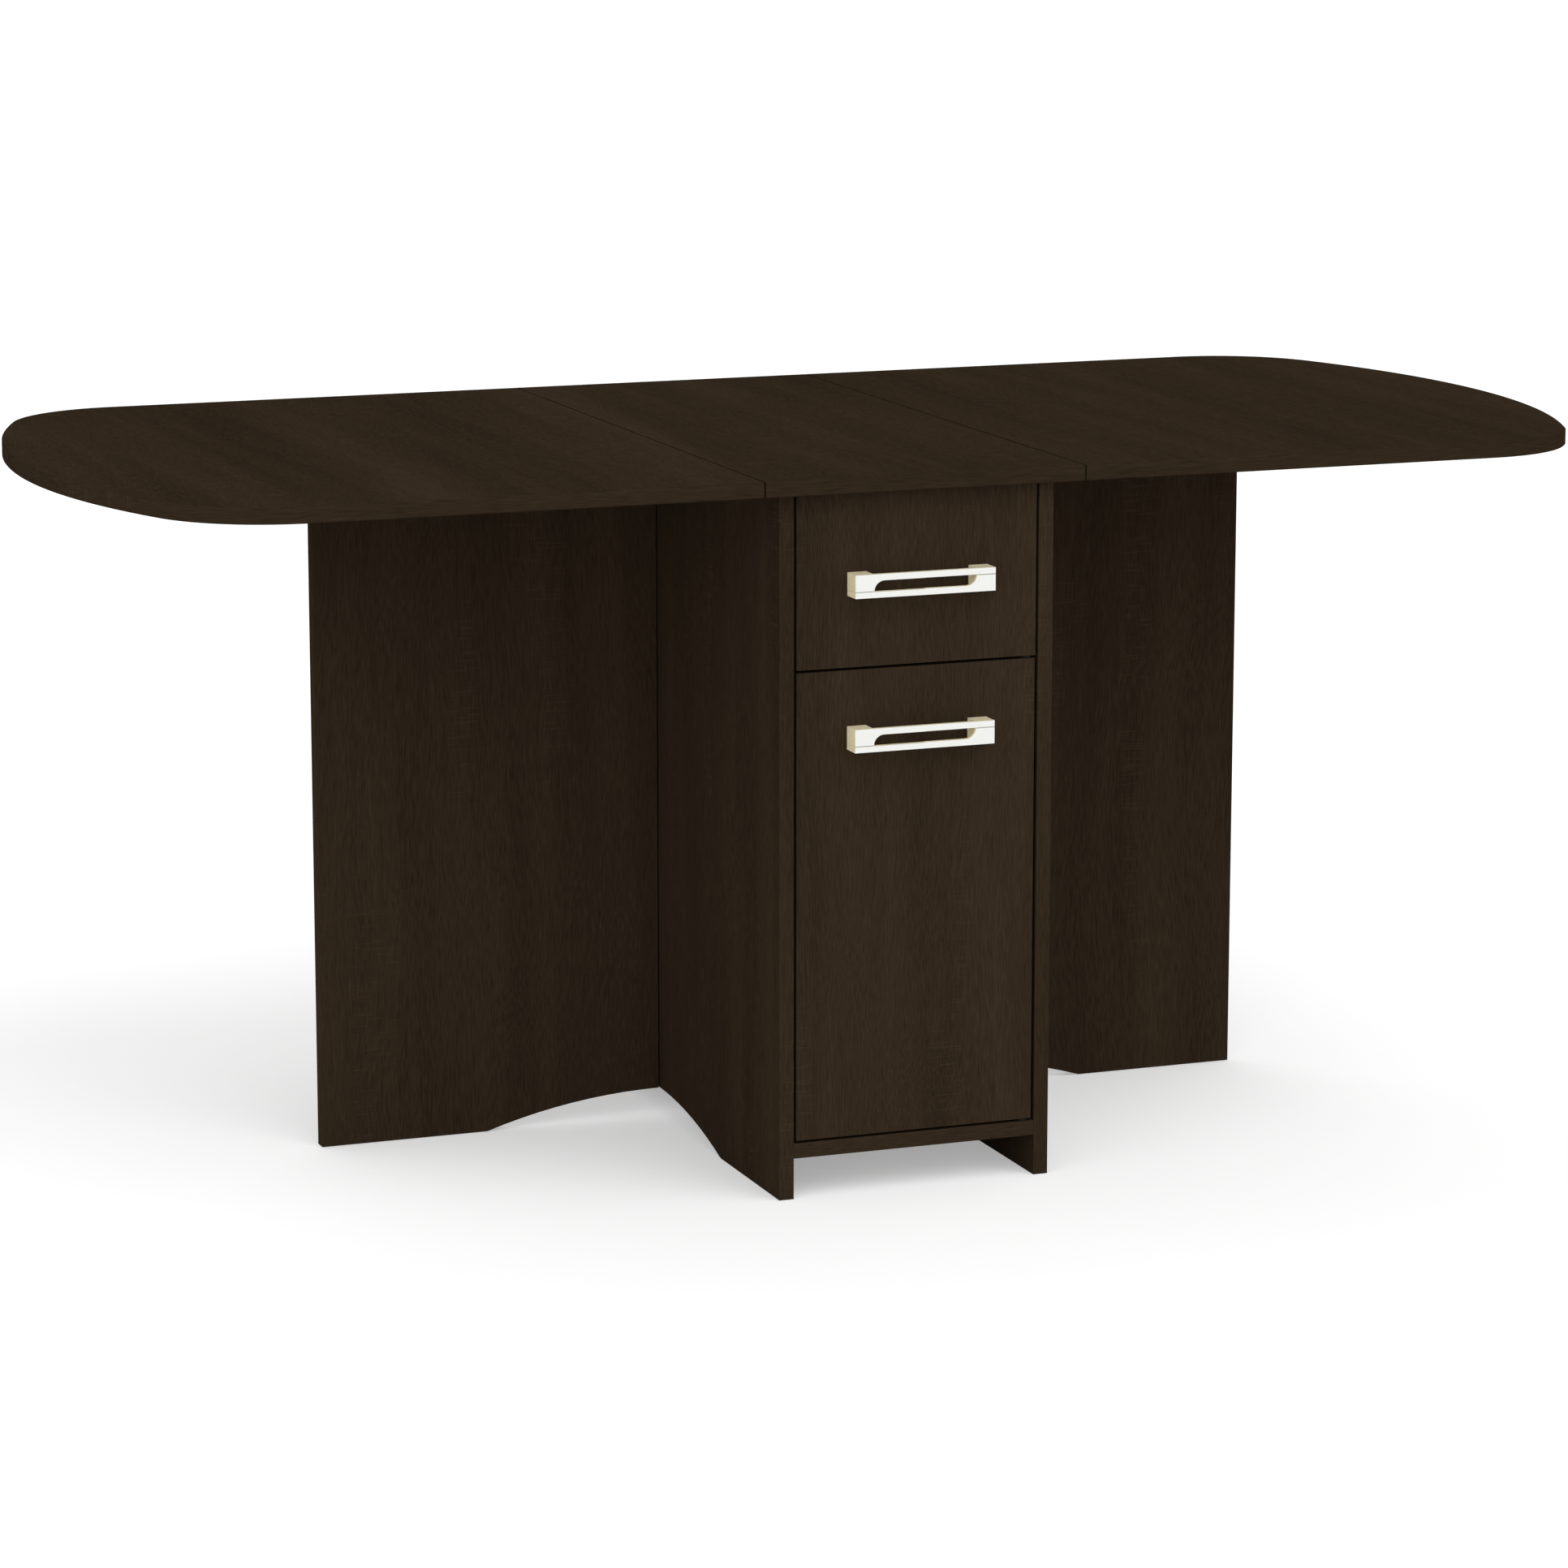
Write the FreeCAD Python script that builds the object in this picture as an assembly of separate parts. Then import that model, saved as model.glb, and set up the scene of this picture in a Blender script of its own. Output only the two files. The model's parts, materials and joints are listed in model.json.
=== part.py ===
import FreeCAD, Part
import math
import os

# Drop-leaf dining table in laminated board. A narrow cabinet with a drawer and a door carries the
# middle of the top. Two leaves hinge to it along the seams, and two gate panels hinged to the
# cabinet's sides swing out to hold the leaves up. The model stands with the gates out and the
# leaves raised. Millimetres, X along the table, drawer and door facing -Y, Z up, origin on the
# floor under the middle of the top. Names with left and right are as seen from the front.

V = FreeCAD.Vector
ORIGIN = V(0, 0, 0)
X_AXIS = V(1, 0, 0)
Y_AXIS = V(0, 1, 0)
Z_AXIS = V(0, 0, 1)

# Top and leaves
board = 16.0
top_height = 750.0
top_length = 1670.0
top_width = 800.0
end_arc_radius = 820.0
corner_radius = 139.0
edge_band = 2.0
edge_bevel = 0.8
seam_gap = 1.0
seam_foot_gap = 0.4

# Cabinet
cabinet_width = 300.0
side_overhang = 24.0
front_overhang = 25.0
bottom_height = 43.0
arch_half_chord = 199.0
arch_height = 31.0
front_gap = 2.8
drawer_front_height = 179.0
rail_width = 80.0
rail_clearance = 2.0
shelf_height = 300.0
shelf_setback = 45.0
shelf_clearance = 1.0
support_length = 22.0
support_leg = 15.0
support_sheet = 3.0
support_inset = 60.0
block_length = 40.0
block_leg = 18.0
block_wall = 6.0
block_inset = 150.0

# Gates
gate_reach = 382.0
gate_edge_gap = 1.5
gate_floor_gap = 0.5
gate_under_hinge = 1.2
pad_length = 46.0
pad_width = 12.0
pad_clearance = 0.3
pad_inset = 10.0
pad_bevel = 1.5

# Butt hinges of the leaves and the gates
hinge_sheet = 1.5
knuckle_radius = 2.5
knuckle_gap = 0.3
pin_radius = 1.25
pin_clearance = 0.05
middle_knuckle_share = 0.4
leaf_hinge_length = 70.0
leaf_hinge_width = 36.0
leaf_hinge_offset = 250.0
leaf_hinge_clearance = 2.0
gate_hinge_length = 80.0
gate_hinge_width = 30.0
gate_hinge_inset = 130.0
hinge_corner = 3.0

# Drawer
drawer_length = 450.0
drawer_head_room = 24.0
drawer_side_gap = 4.0
drawer_floor_gap = 14.0
drawer_sheet = 3.0
drawer_sheet_height = 10.0
drawer_groove = 6.0
drawer_groove_clearance = 0.2
drawer_housing = 5.0
drawer_housing_clearance = 0.1
drawer_back_inset = 12.0
runner_height = 17.0
runner_depth = 11.0
runner_length = 430.0
runner_clearance = 0.3
runner_nose = 5.0

# Door pivots and catch
door_edge_round = 2.0
swing_clearance = 0.3
pivot_clearance = 0.4
pivot_pin_radius = 2.5
pivot_pin_length = 10.0
pivot_nose = 6.0
pivot_tail = 34.0
bush_radius = 4.0
bush_wall = 3.0
bush_length = 12.0
bush_clearance = 0.05
catch_length = 46.0
catch_depth = 14.0
catch_height = 13.0
catch_inset = 28.0
catch_gap = 0.3
catch_bevel = 2.0
magnet_length = 30.0
magnet_proud = 1.2
strike_sheet = 1.0

# Handles
handle_length = 153.0
handle_height = 24.0
handle_projection = 23.0
handle_post = 20.5
handle_bar = 5.0
handle_rail = 6.5
handle_seam = 0.25
drawer_handle_drop = 93.0
door_handle_drop = 69.5

# Planes and edges worked out from the sizes above
half_length = top_length / 2
half_width = top_width / 2
top_under = top_height - board
side_x = cabinet_width / 2
inner_x = side_x - board
seam_x = side_x + side_overhang
leaf_x = seam_x + seam_gap
leaf_foot_x = seam_x + seam_foot_gap
front_y = front_overhang - half_width
rear_y = -front_y
front_inner_y = front_y + board
back_inner_y = rear_y - board
bottom_top = bottom_height + board
front_half = inner_x - front_gap
door_low = bottom_top + front_gap
drawer_front_high = top_under - front_gap
drawer_front_low = drawer_front_high - drawer_front_height
door_high = drawer_front_low - front_gap
divider_top = door_high + pivot_clearance
divider_low = divider_top - board
rail_low = top_under - board
rail_front = front_inner_y + rail_clearance
rail_spans = [(rail_front, rail_front + rail_width), (back_inner_y - rail_width, back_inner_y)]
shelf_front = front_y + shelf_setback
shelf_rear = back_inner_y - shelf_clearance
shelf_top = shelf_height + board

# Arch in the foot of the side panels, and its half in the gates
arch_radius = (arch_half_chord ** 2 + arch_height ** 2) / (2 * arch_height)
arch_centre_z = arch_height - arch_radius

# Each hinge pin lies one knuckle and a running gap off the boards that it joins, and the leaves' pins
# lie under the middle of the seam's foot
hinge_offset = knuckle_radius + knuckle_gap
leaf_pin_x = seam_x + seam_foot_gap / 2
leaf_fixed_width = leaf_pin_x - side_x - leaf_hinge_clearance
leaf_hinge_places = [V(leaf_pin_x, y, top_under - hinge_offset)
                     for y in (-leaf_hinge_offset, leaf_hinge_offset)]
gate_x = side_x + gate_edge_gap
gate_end = side_x + gate_reach
gate_high = top_under - hinge_offset - knuckle_radius - gate_under_hinge
gate_hinge_places = [V(side_x + hinge_offset, board / 2 + hinge_offset, z)
                     for z in (bottom_top + gate_hinge_inset, gate_high - gate_hinge_inset)]

# Drawer box and the runner strips that its side grooves slide on
drawer_x = inner_x - drawer_side_gap
drawer_inner_x = drawer_x - board
drawer_low = divider_top + drawer_floor_gap
drawer_high = rail_low - drawer_head_room
drawer_rear = front_inner_y + drawer_length
drawer_back_rear = drawer_rear - drawer_back_inset
runner_x = inner_x - runner_depth
runner_low = (drawer_low + drawer_high - runner_height) / 2
runner_front = front_inner_y + runner_clearance
sheet_low = drawer_low + drawer_sheet_height
sheet_high = sheet_low + drawer_sheet
sheet_edge = drawer_groove - drawer_groove_clearance

# The door's rounded edge swings past the side panel with the swing clearance to spare
swing_room = front_gap - swing_clearance
swing_inset = door_edge_round + ((board / 2 - door_edge_round) ** 2 - swing_room ** 2) / (2 * swing_room)
pivot_inset = max(swing_inset, bush_radius + bush_wall)
pivot_x = front_half - pivot_inset
pivot_y = front_y + board / 2
pivot_sheet = front_gap - 2 * pivot_clearance
pivot_foot = bottom_top + pivot_sheet
divider_front = pivot_y + pivot_inset + front_gap
drawer_handle_z = drawer_front_high - drawer_handle_drop
door_handle_z = door_high - door_handle_drop

nodes = {}


def box(x0, x1, y0, y1, z0, z1):
    return Part.makeBox(x1 - x0, y1 - y0, z1 - z0, V(x0, y0, z0))


def rod(radius, start, end):
    return Part.makeCylinder(radius, (end - start).Length, start, end - start)


def line(start, end):
    return Part.LineSegment(start, end).toShape()


def arc(start, middle, end):
    return Part.Arc(start, middle, end).toShape()


def prism(edges, direction):
    return Part.Face(Part.Wire(edges)).extrude(direction)


def cut(shape, tools):
    return shape.cut(tools).Solids[0]


def join(pieces):
    return pieces[0].fuse(pieces[1:]).removeSplitter().Solids[0]


def rounded(shape, radius, wanted):
    return shape.makeFillet(radius, [edge for edge in shape.Edges if wanted(edge.BoundBox)])


def bevelled(shape, size, wanted):
    return shape.makeChamfer(size, [edge for edge in shape.Edges if wanted(edge.BoundBox)])


def mirrored(shape):
    return shape.mirror(ORIGIN, X_AXIS)


def both_sides(shapes):
    return shapes + [mirrored(shape) for shape in shapes]


def group(shapes):
    return Part.makeCompound(shapes)


def placed(shape, x_dir, y_dir, position):
    """Turn a shape so that its own X and Y point along two directions, and move it to a place."""
    z_dir = x_dir.cross(y_dir)
    turn = FreeCAD.Matrix(
        x_dir.x, y_dir.x, z_dir.x, position.x,
        x_dir.y, y_dir.y, z_dir.y, position.y,
        x_dir.z, y_dir.z, z_dir.z, position.z,
        0, 0, 0, 1)
    return shape.transformed(turn)


# Top: a middle panel between two leaves with bowed ends, all with a band round the outer edges

def leaf_outline(apex_x, half, end_radius, corner):
    """Edges of a leaf: straight sides, rounded corners and a shallow bow that meet in tangents."""
    end_x = apex_x - end_radius
    corner_y = half - corner
    run = end_radius - corner
    corner_x = end_x + math.sqrt(run ** 2 - corner_y ** 2)
    outward = V(corner_x - end_x, corner_y, 0) / run
    centre = V(corner_x, corner_y, top_under)
    middle = (outward + Y_AXIS).normalize()
    far = [V(leaf_foot_x, half, top_under),
           V(corner_x, half, top_under),
           centre + middle * corner,
           centre + outward * corner]
    near = [V(point.x, -point.y, point.z) for point in far]
    apex = V(apex_x, 0, top_under)
    return [line(far[0], far[1]), arc(far[1], far[2], far[3]), arc(far[3], apex, near[3]),
            arc(near[3], near[2], near[1]), line(near[1], near[0]), line(near[0], far[0])]


def seam_slant():
    """Wedge off the leaf's edge, so that the seam narrows downwards and the leaf can still be lifted."""
    foot = V(leaf_foot_x, -half_width, top_under)
    above = V(leaf_foot_x, -half_width, top_height)
    back = V(leaf_x, -half_width, top_height)
    return prism([line(foot, above), line(above, back), line(back, foot)], V(0, top_width, 0))


def right_leaf():
    """Core of the right leaf, and the band glued round its three free edges."""
    rise = V(0, 0, board)
    outer = prism(leaf_outline(half_length, half_width, end_arc_radius, corner_radius), rise)
    core = prism(leaf_outline(half_length - edge_band, half_width - edge_band,
                              end_arc_radius - edge_band, corner_radius - edge_band), rise)
    outer = bevelled(outer, edge_bevel,
                     lambda edge: edge.ZLength < edge_bevel and edge.XMax > leaf_x + edge_band)
    return cut(core, [seam_slant()]), cut(outer, [core, seam_slant()])


def centre_bands():
    """Bands along the front and rear edge of the middle panel."""
    strip = box(-seam_x, seam_x, -half_width, edge_band - half_width, top_under, top_height)
    front = bevelled(strip, edge_bevel,
                     lambda edge: edge.YMax < edge_bevel - half_width and edge.ZLength < edge_bevel)
    return group([front, front.mirror(ORIGIN, Y_AXIS)])


# Butt hinge, drawn about its own pin: Z along the pin, X away from it, +Y towards the board

def hinge_plate(length, width, outer_knuckles):
    half = length / 2
    middle = half * middle_knuckle_share
    spans = [(knuckle_gap - middle, middle - knuckle_gap)]
    if outer_knuckles:
        spans = [(-half, -middle), (middle, half)]
    inside = hinge_offset - hinge_sheet
    pieces = [bevelled(box(hinge_offset, width, inside, hinge_offset, -half, half), hinge_corner,
                       lambda edge: edge.XMin > width - hinge_corner and edge.ZLength < hinge_corner)]
    for low, high in spans:
        pieces.append(box(0, hinge_offset, inside, hinge_offset, low, high))
        pieces.append(rod(knuckle_radius, V(0, 0, low), V(0, 0, high)))
    bore = rod(pin_radius + pin_clearance, V(0, 0, -length), V(0, 0, length))
    return cut(join(pieces), [bore])


def hinge_pins(places, along, length):
    reach = along * (length / 2)
    return group(both_sides([rod(pin_radius, place - reach, place + reach) for place in places]))


def leaf_plates(width, outer_knuckles, away):
    """Plates that lie flat under the seam on the right, on the side that they point away to."""
    plate = hinge_plate(leaf_hinge_length, width, outer_knuckles)
    return [placed(plate, away, Z_AXIS, place) for place in leaf_hinge_places]


def gate_plates(outer_knuckles, away, to_board):
    """Plates in the corner behind the right gate, on the cabinet's side or on the gate."""
    plate = hinge_plate(gate_hinge_length, gate_hinge_width, outer_knuckles)
    return [placed(plate, away, to_board, place) for place in gate_hinge_places]


# Gate: a full-height panel square to the cabinet's side, with a half arch next to its hinges

def arch_cutter(along):
    """Cylinder under the cabinet's side whose upper arc is the arch in the foot of a panel."""
    reach = along * cabinet_width
    middle = V(side_x, 0, arch_centre_z)
    return rod(arch_radius, middle - reach, middle + reach)


def right_gate():
    panel = box(gate_x, gate_end, -board / 2, board / 2, gate_floor_gap, gate_high)
    return cut(panel, [arch_cutter(Y_AXIS)])


def right_pad():
    """Support pad on the gate, just under the raised leaf."""
    outer = gate_end - pad_inset
    pad = box(outer - pad_length, outer, -pad_width / 2, pad_width / 2, gate_high, top_under - pad_clearance)
    return bevelled(pad, pad_bevel, lambda edge: edge.ZMin > gate_high)


# Cabinet: two sides, bottom, back, divider under the drawer, shelf and two rails under the top

def right_side():
    return cut(box(inner_x, side_x, front_y, rear_y, 0, top_under), [arch_cutter(X_AXIS)])


def corner_block(corner, across, down):
    """Block in the corner of two boards, with its open side cut off at a slant."""
    along = across.cross(down)
    start = corner - along * (block_length / 2)
    points = [start, start + across * block_leg,
              start + across * block_leg + down * block_wall,
              start + across * block_wall + down * block_leg,
              start + down * block_leg]
    edges = [line(points[i - 1], points[i]) for i in range(len(points))]
    return prism(edges, along * block_length)


def corner_blocks():
    """Blocks that hold the bottom, divider, rails, back and top to the sides."""
    under = [V(inner_x, y, bottom_height) for y in (front_y + block_inset, rear_y - block_inset)]
    under += [V(inner_x, y, divider_low) for y in (divider_front + block_inset, back_inner_y - block_inset)]
    under += [V(inner_x, (near + far) / 2, rail_low) for near, far in rail_spans]
    under += [V(inner_x, y, top_under) for y in (front_y / 2, rear_y / 2)]
    upright = [V(inner_x, back_inner_y, z) for z in ((bottom_top + shelf_height) / 2,
                                                     (shelf_top + divider_low) / 2,
                                                     (divider_top + rail_low) / 2)]
    blocks = [corner_block(place, -X_AXIS, -Z_AXIS) for place in under]
    blocks += [corner_block(place, -X_AXIS, -Y_AXIS) for place in upright]
    return group(both_sides(blocks))


def shelf_supports():
    supports = []
    for y in (shelf_front + support_inset, shelf_rear - support_inset):
        near = y - support_length / 2
        far = y + support_length / 2
        upright = box(inner_x - support_sheet, inner_x, near, far, shelf_height - support_leg, shelf_height)
        flat = box(inner_x - support_leg, inner_x, near, far, shelf_height - support_sheet, shelf_height)
        supports.append(join([upright, flat]))
    return group(both_sides(supports))


def right_runner():
    strip = box(runner_x, inner_x, runner_front, runner_front + runner_length,
                runner_low, runner_low + runner_height)
    return rounded(strip, runner_nose,
                   lambda edge: edge.YMax < runner_front + runner_nose and edge.XLength > runner_nose)


# Handle: a pull with two posts and a slotted bar, made of two halves that interlock at the ends

def handle_slot(low, high, half):
    """Slot in the bar, round at two opposite corners and sharp at the other two."""
    bend = high - low
    turn = bend * math.sqrt(1 / 2)
    y = front_y - handle_projection
    left_low = V(-half, y, low)
    left_high = V(bend - half, y, high)
    right_high = V(half, y, high)
    right_low = V(half - bend, y, low)
    edges = [arc(left_low, V(bend - half - turn, y, low + turn), left_high), line(left_high, right_high),
             arc(right_high, V(half - bend + turn, y, high - turn), right_low), line(right_low, left_low)]
    return prism(edges, V(0, handle_bar, 0))


def handle_halves(z):
    half = handle_length / 2
    low = z - handle_height / 2
    high = z + handle_height / 2
    face = front_y - handle_projection
    slot_half = half - handle_post
    slot_low = low + handle_rail
    slot_high = high - handle_rail
    whole = join([box(-half, half, face, face + handle_bar, low, high),
                  box(-half, -slot_half, face, front_y, low, high),
                  box(slot_half, half, face, front_y, low, high)])
    whole = cut(whole, [handle_slot(slot_low, slot_high, slot_half)])
    upper = join([box(-half, 0, face, front_y, slot_low, high),
                  box(0, half, face, front_y, slot_high, high)])
    lower = join([box(-half, 0, face, front_y, low, slot_low - handle_seam),
                  box(0, half, face, front_y, low, slot_high - handle_seam)])
    return whole.common(upper).Solids[0], whole.common(lower).Solids[0]


# Drawer: inset front, grooved sides housed in it, back, and a thin bottom held in grooves

def sheet_groove():
    """Room for the drawer's bottom in its sides and front."""
    reach = drawer_inner_x + drawer_groove
    return box(-reach, reach, front_inner_y - drawer_groove, drawer_rear,
               sheet_low - drawer_groove_clearance, sheet_high + drawer_groove_clearance)


def drawer_side():
    side = box(drawer_inner_x, drawer_x, front_inner_y - drawer_housing, drawer_rear, drawer_low, drawer_high)
    track = box(runner_x - runner_clearance, drawer_x, front_inner_y - drawer_housing, drawer_rear,
                runner_low - runner_clearance, runner_low + runner_height + runner_clearance)
    slack = drawer_housing_clearance
    back_housing = box(drawer_inner_x, drawer_inner_x + drawer_housing + slack,
                       drawer_back_rear - board - slack, drawer_back_rear + slack, drawer_low, drawer_high)
    return cut(side, [track, sheet_groove(), back_housing])


def drawer_front():
    panel = box(-front_half, front_half, front_y, front_inner_y, drawer_front_low, drawer_front_high)
    slack = drawer_housing_clearance
    housing = box(drawer_inner_x - slack, drawer_x + slack, front_inner_y - drawer_housing - slack,
                  front_inner_y, drawer_low - slack, drawer_high + slack)
    return cut(panel, [sheet_groove()] + both_sides([housing]))


def drawer_back():
    reach = drawer_inner_x + drawer_housing
    return box(-reach, reach, drawer_back_rear - board, drawer_back_rear,
               sheet_high + drawer_groove_clearance, drawer_high)


def drawer_bottom():
    reach = drawer_inner_x + sheet_edge
    return box(-reach, reach, front_inner_y - sheet_edge, drawer_back_rear, sheet_low, sheet_high)


# Door: inset panel that turns on two pins near its right edge, with a magnetic catch on the left

def on_pivot(z):
    return V(pivot_x, pivot_y, z)


def pivot(face_z, pin_low, pin_high):
    """Plate with a round nose, screwed down on a board, and the pin riveted in the nose."""
    plate_top = face_z + pivot_sheet
    return join([rod(pivot_nose, on_pivot(face_z), on_pivot(plate_top)),
                 box(pivot_x - pivot_nose, pivot_x + pivot_nose, pivot_y, pivot_y + pivot_tail,
                     face_z, plate_top),
                 rod(pivot_pin_radius, on_pivot(pin_low), on_pivot(pin_high))])


def door_bushes():
    """Sleeves in the door's lower and upper edge. The lower one stands out to carry the door."""
    bore = rod(pivot_pin_radius + pin_clearance, on_pivot(bottom_top), on_pivot(door_high))
    lower = rod(bush_radius, on_pivot(pivot_foot), on_pivot(door_low + bush_length))
    upper = rod(bush_radius, on_pivot(door_high - bush_length), on_pivot(door_high))
    return group([cut(lower, [bore]), cut(upper, [bore])])


def door_panel():
    panel = box(-front_half, front_half, front_y, front_inner_y, door_low, door_high)
    panel = rounded(panel, door_edge_round, lambda edge: edge.ZLength > board and edge.XMin > 0)
    deep = bush_length + bush_clearance
    around = bush_radius + bush_clearance
    return cut(panel, [rod(around, on_pivot(door_low), on_pivot(door_low + deep)),
                       rod(around, on_pivot(door_high - deep), on_pivot(door_high))])


def magnetic_catch():
    """Housing under the divider, the magnet in its front, and the strike plate on the door."""
    left = catch_inset - inner_x
    low = divider_low - catch_height
    strike_rear = front_inner_y + strike_sheet
    magnet_front = strike_rear + catch_gap
    housing_front = magnet_front + magnet_proud
    housing = bevelled(box(left, left + catch_length, housing_front, housing_front + catch_depth,
                           low, divider_low), catch_bevel,
                       lambda edge: edge.ZMax < divider_low - catch_bevel and edge.YLength > catch_bevel)
    magnet_left = left + (catch_length - magnet_length) / 2
    magnet_right = magnet_left + magnet_length
    magnet_low = low + catch_bevel
    magnet_high = divider_low - catch_bevel
    magnet = box(magnet_left, magnet_right, magnet_front, housing_front, magnet_low, magnet_high)
    strike = box(magnet_left, magnet_right, front_inner_y, strike_rear, magnet_low, magnet_high)
    return housing, magnet, strike


# Nodes of the cabinet
nodes["right_side_panel"] = right_side()
nodes["left_side_panel"] = mirrored(nodes["right_side_panel"])
nodes["bottom_panel"] = box(-inner_x, inner_x, front_y, rear_y, bottom_height, bottom_top)
nodes["back_panel"] = box(-inner_x, inner_x, back_inner_y, rear_y, bottom_top, top_under)
nodes["drawer_divider"] = box(-inner_x, inner_x, divider_front, back_inner_y, divider_low, divider_top)
nodes["front_top_rail"], nodes["rear_top_rail"] = [
    box(-inner_x, inner_x, near, far, rail_low, top_under) for near, far in rail_spans]
nodes["shelf"] = box(shelf_clearance - inner_x, inner_x - shelf_clearance, shelf_front, shelf_rear,
                     shelf_height, shelf_top)
nodes["shelf_supports"] = shelf_supports()
nodes["corner_blocks"] = corner_blocks()
nodes["right_drawer_runner"] = right_runner()
nodes["left_drawer_runner"] = mirrored(nodes["right_drawer_runner"])

# Nodes of the top, its leaves and their hinges
nodes["top_centre_panel"] = box(-seam_x, seam_x, edge_band - half_width, half_width - edge_band,
                                top_under, top_height)
nodes["top_centre_edge_bands"] = centre_bands()
nodes["right_leaf"], nodes["right_leaf_edge_band"] = right_leaf()
nodes["left_leaf"] = mirrored(nodes["right_leaf"])
nodes["left_leaf_edge_band"] = mirrored(nodes["right_leaf_edge_band"])
nodes["leaf_hinge_fixed_plates"] = group(both_sides(leaf_plates(leaf_fixed_width, True, -X_AXIS)))
nodes["right_leaf_hinge_plates"] = group(leaf_plates(leaf_hinge_width, False, X_AXIS))
nodes["left_leaf_hinge_plates"] = mirrored(nodes["right_leaf_hinge_plates"])
nodes["leaf_hinge_pins"] = hinge_pins(leaf_hinge_places, Y_AXIS, leaf_hinge_length)

# Nodes of the gates and their hinges
nodes["right_gate_panel"] = right_gate()
nodes["left_gate_panel"] = mirrored(nodes["right_gate_panel"])
nodes["right_gate_pad"] = right_pad()
nodes["left_gate_pad"] = mirrored(nodes["right_gate_pad"])
nodes["gate_hinge_fixed_plates"] = group(both_sides(gate_plates(True, Y_AXIS, -X_AXIS)))
nodes["right_gate_hinge_plates"] = group(gate_plates(False, X_AXIS, -Y_AXIS))
nodes["left_gate_hinge_plates"] = mirrored(nodes["right_gate_hinge_plates"])
nodes["gate_hinge_pins"] = hinge_pins(gate_hinge_places, Z_AXIS, gate_hinge_length)

# Nodes of the drawer
nodes["drawer_front"] = drawer_front()
nodes["drawer_right_side"] = drawer_side()
nodes["drawer_left_side"] = mirrored(nodes["drawer_right_side"])
nodes["drawer_back"] = drawer_back()
nodes["drawer_bottom"] = drawer_bottom()
nodes["drawer_handle_upper"], nodes["drawer_handle_lower"] = handle_halves(drawer_handle_z)

# Nodes of the door
nodes["door_panel"] = door_panel()
nodes["door_lower_pivot"] = pivot(bottom_top, pivot_foot, pivot_foot + pivot_pin_length)
nodes["door_upper_pivot"] = pivot(divider_top, divider_top - pivot_pin_length, divider_top)
nodes["door_bushes"] = door_bushes()
nodes["catch_housing"], nodes["catch_magnet"], nodes["catch_strike"] = magnetic_catch()
nodes["door_handle_upper"], nodes["door_handle_lower"] = handle_halves(door_handle_z)

os.makedirs("parts", exist_ok=True)
for name, shape in nodes.items():
    shape.exportStep("parts/" + name + ".step")
print(len(nodes), "nodes")
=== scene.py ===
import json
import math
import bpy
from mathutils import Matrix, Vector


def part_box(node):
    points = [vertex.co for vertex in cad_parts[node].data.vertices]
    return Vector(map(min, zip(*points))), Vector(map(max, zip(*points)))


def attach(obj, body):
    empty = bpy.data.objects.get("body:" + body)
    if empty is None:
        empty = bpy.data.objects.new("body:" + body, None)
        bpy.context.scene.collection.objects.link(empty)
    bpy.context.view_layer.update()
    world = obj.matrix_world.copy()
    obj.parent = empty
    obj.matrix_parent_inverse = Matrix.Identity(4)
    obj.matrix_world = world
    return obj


bl_info = {
    "name": "Drop-leaf table finish",
    "version": (1, 0, 0),
    "blender": (4, 5, 0),
    "location": "View3D > Sidebar > Table",
    "description": "Dark oak laminate, pulls, hinges, screws and a studio for a drop-leaf table",
    "category": "Object",
}

import bpy
from mathutils import Matrix, Vector

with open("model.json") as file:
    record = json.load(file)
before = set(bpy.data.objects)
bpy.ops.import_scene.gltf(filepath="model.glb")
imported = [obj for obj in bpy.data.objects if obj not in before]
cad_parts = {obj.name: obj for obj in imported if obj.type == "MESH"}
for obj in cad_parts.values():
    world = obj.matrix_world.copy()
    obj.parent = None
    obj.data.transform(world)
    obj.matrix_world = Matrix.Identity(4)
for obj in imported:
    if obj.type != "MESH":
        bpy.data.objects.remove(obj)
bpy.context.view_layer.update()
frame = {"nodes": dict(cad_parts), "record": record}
RECORD_COLOURS = {row["slot"]: tuple(row["base_color"]) for row in frame["record"]["materials"]}
LAMINATE = RECORD_COLOURS["dark_laminate"]
WHITE = (1.0, 1.0, 1.0, 1.0)
MM = 0.001

# Sides of the table, seen from the front, and ways that the head of a screw can face
SIDES = {"left": -1, "right": 1}
UP = (0, 0, 1)
DOWN = (0, 0, -1)
REAR = (0, 1, 0)

# Boards by the way their grain runs, and fittings by their finish
UPRIGHT_BOARDS = ("left_side_panel", "right_side_panel", "back_panel")
LEVEL_BOARDS = ("bottom_panel", "drawer_divider", "front_top_rail", "rear_top_rail", "shelf")
TOP_BOARDS = ("top_centre_panel", "left_leaf", "right_leaf")
TOP_BANDS = ("top_centre_edge_bands", "left_leaf_edge_band", "right_leaf_edge_band")
GATE_BOARDS = ("left_gate_panel", "right_gate_panel")
FRONT_BOARDS = ("drawer_front", "door_panel")
DRAWER_SIDES = ("drawer_left_side", "drawer_right_side")
STEEL_NODES = ("leaf_hinge_fixed_plates", "left_leaf_hinge_plates", "right_leaf_hinge_plates",
               "gate_hinge_fixed_plates", "left_gate_hinge_plates", "right_gate_hinge_plates",
               "leaf_hinge_pins", "gate_hinge_pins", "catch_strike")
BLACKENED_NODES = ("door_lower_pivot", "door_upper_pivot")
BROWN_NODES = ("shelf_supports", "corner_blocks", "left_drawer_runner", "right_drawer_runner",
               "catch_housing", "door_bushes")
NYLON_NODES = ("left_gate_pad", "right_gate_pad")
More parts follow.
